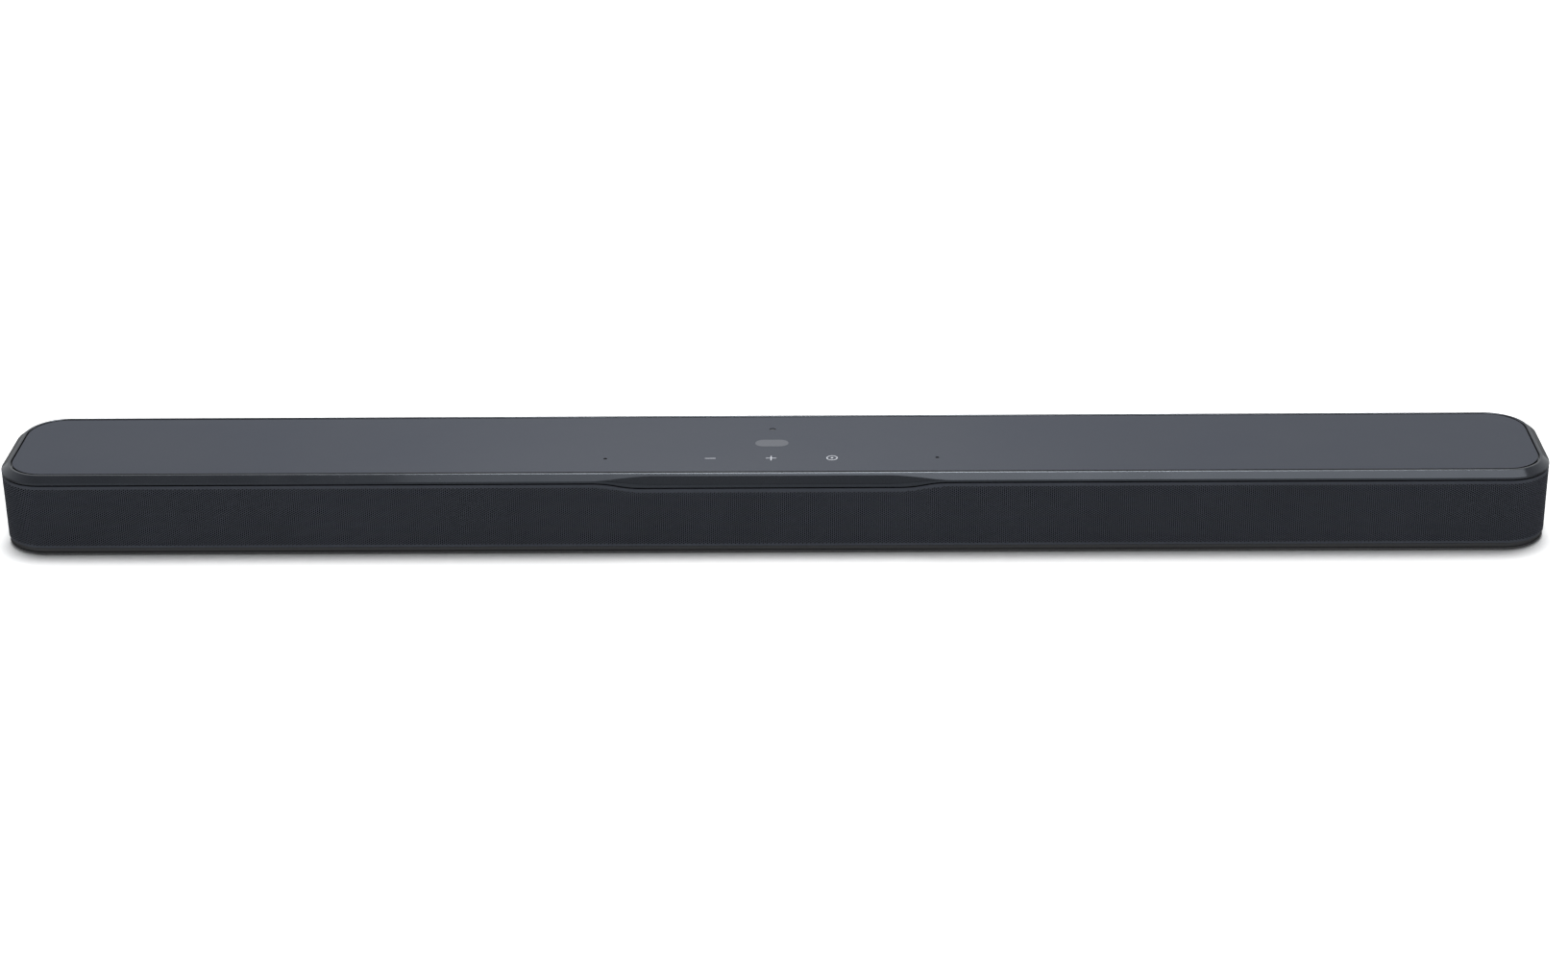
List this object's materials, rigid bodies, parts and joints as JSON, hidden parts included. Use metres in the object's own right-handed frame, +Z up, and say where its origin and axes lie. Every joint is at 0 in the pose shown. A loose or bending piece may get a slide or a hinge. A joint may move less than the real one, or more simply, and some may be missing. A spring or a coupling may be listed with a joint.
{
  "type": "soundbar",
  "caption": "Slim soundbar with a wrap-round perforated grille, glossy trim ring, inlaid touch panel, racetrack drivers, rear ports and a rear connector bay.",
  "frame": {"origin": "on the surface that the feet stand on, under the middle of the bar", "axes": "+X along the bar to the viewer's right when facing its front, +Y from the front grille to the back, +Z up"},
  "size_m": [1.017, 0.1036, 0.056],
  "materials": {
    "case_plastic": "fine-textured moulding",
    "trim_gloss": "polished, smooth",
    "panel_satin": "satin, faint grain",
    "grille_paint": "semi-matt powder coat on perforated steel",
    "scrim_cloth": "fine black acoustic cloth",
    "rubber_black": "matt rubber",
    "foam_black": "closed-cell foam strip",
    "steel_screw": "black-zinc steel",
    "steel_plain": "nickel-plated steel",
    "brass_thread": "knurled brass",
    "sink_aluminium": "extruded",
    "magnet_iron": "ferrite magnet with plated steel plates",
    "basket_steel": "black painted pressing",
    "cone_paper": "pressed black paper",
    "dome_silk": "coated silk",
    "board_green": "solder-masked glass board",
    "chip_black": "moulded component body",
    "capacitor_sleeve": "shrink-sleeved can",
    "winding_tape": "taped winding on ferrite",
    "key_ink": "translucent pale grey ink",
    "guide_clear": "clear acrylic",
    "socket_black": "moulded socket body",
    "wire_grey": "flat ribbon"
  },
  "bodies": {
    "cabinet": {"ac_inlet": "socket_black", "antenna_strips": "board_green", "base_tray": "case_plastic", "bass_ports": "case_plastic", "bezel_trim": "trim_gloss", "board_chips": "chip_black", "case_screws": "steel_screw", "connector_plate": "case_plastic", "display_board": "board_green", "driver_gaskets": "foam_black", "driver_screws": "steel_screw", "ethernet_socket": "socket_black", "filter_capacitors": "capacitor_sleeve", "front_baffle": "case_plastic", "front_grille": "grille_paint", "grille_scrim": "scrim_cloth", "hdmi_sockets": "steel_plain", "heat_sink": "sink_aluminium", "key_icons": "key_ink", "key_light_guides": "guide_clear", "left_tweeter_housing": "case_plastic", "main_board": "board_green", "mic_boards": "board_green", "mic_boots": "rubber_black", "optical_socket": "socket_black", "power_board": "board_green", "rear_cover": "case_plastic", "right_tweeter_housing": "case_plastic", "rubber_feet": "rubber_black", "top_deck": "case_plastic", "top_panel": "panel_satin", "touch_board": "board_green", "transformer": "winding_tape", "usb_socket": "steel_plain", "wall_mount_inserts": "brass_thread", "wireless_module": "board_green", "wiring_harness": "wire_grey", "woofer_1_basket": "basket_steel", "woofer_1_magnet": "magnet_iron", "woofer_1_spider": "foam_black", "woofer_1_surround": "rubber_black", "woofer_2_basket": "basket_steel", "woofer_2_magnet": "magnet_iron", "woofer_2_spider": "foam_black", "woofer_2_surround": "rubber_black", "woofer_3_basket": "basket_steel", "woofer_3_magnet": "magnet_iron", "woofer_3_spider": "foam_black", "woofer_3_surround": "rubber_black", "woofer_4_basket": "basket_steel", "woofer_4_magnet": "magnet_iron", "woofer_4_spider": "foam_black", "woofer_4_surround": "rubber_black"},
    "woofer_1_diaphragm": {"woofer_1_cone": "cone_paper"},
    "woofer_2_diaphragm": {"woofer_2_cone": "cone_paper"},
    "woofer_3_diaphragm": {"woofer_3_cone": "cone_paper"},
    "woofer_4_diaphragm": {"woofer_4_cone": "cone_paper"},
    "left_tweeter_diaphragm": {"left_tweeter_dome": "dome_silk"},
    "right_tweeter_diaphragm": {"right_tweeter_dome": "dome_silk"},
    "optical_flap": {"optical_shutter": "socket_black"}
  },
  "joints": [
    {"name": "woofer_1_travel", "type": "slide", "parent": "cabinet", "child": "woofer_1_diaphragm", "axis": [0, -1, 0], "range_m": [-0.003, 0.003], "stiffness_N_per_m": 1600, "deforming": ["woofer_1_surround", "woofer_1_spider"]},
    {"name": "woofer_2_travel", "type": "slide", "parent": "cabinet", "child": "woofer_2_diaphragm", "axis": [0, -1, 0], "range_m": [-0.003, 0.003], "stiffness_N_per_m": 1600, "deforming": ["woofer_2_surround", "woofer_2_spider"]},
    {"name": "woofer_3_travel", "type": "slide", "parent": "cabinet", "child": "woofer_3_diaphragm", "axis": [0, -1, 0], "range_m": [-0.003, 0.003], "stiffness_N_per_m": 1600, "deforming": ["woofer_3_surround", "woofer_3_spider"]},
    {"name": "woofer_4_travel", "type": "slide", "parent": "cabinet", "child": "woofer_4_diaphragm", "axis": [0, -1, 0], "range_m": [-0.003, 0.003], "stiffness_N_per_m": 1600, "deforming": ["woofer_4_surround", "woofer_4_spider"]},
    {"name": "left_tweeter_travel", "type": "slide", "parent": "cabinet", "child": "left_tweeter_diaphragm", "axis": [0, -1, 0], "range_m": [-0.0003, 0.0003], "stiffness_N_per_m": 3000},
    {"name": "right_tweeter_travel", "type": "slide", "parent": "cabinet", "child": "right_tweeter_diaphragm", "axis": [0, -1, 0], "range_m": [-0.0003, 0.0003], "stiffness_N_per_m": 3000},
    {"name": "optical_flap_hinge", "type": "hinge", "parent": "cabinet", "child": "optical_flap", "pos_m": [-0.008, 0.0369, 0.0285], "axis": [-1, 0, 0], "range_deg": [0, 75], "stiffness_Nm_per_rad": 0.001, "springref_deg": -22.92}
  ]
}
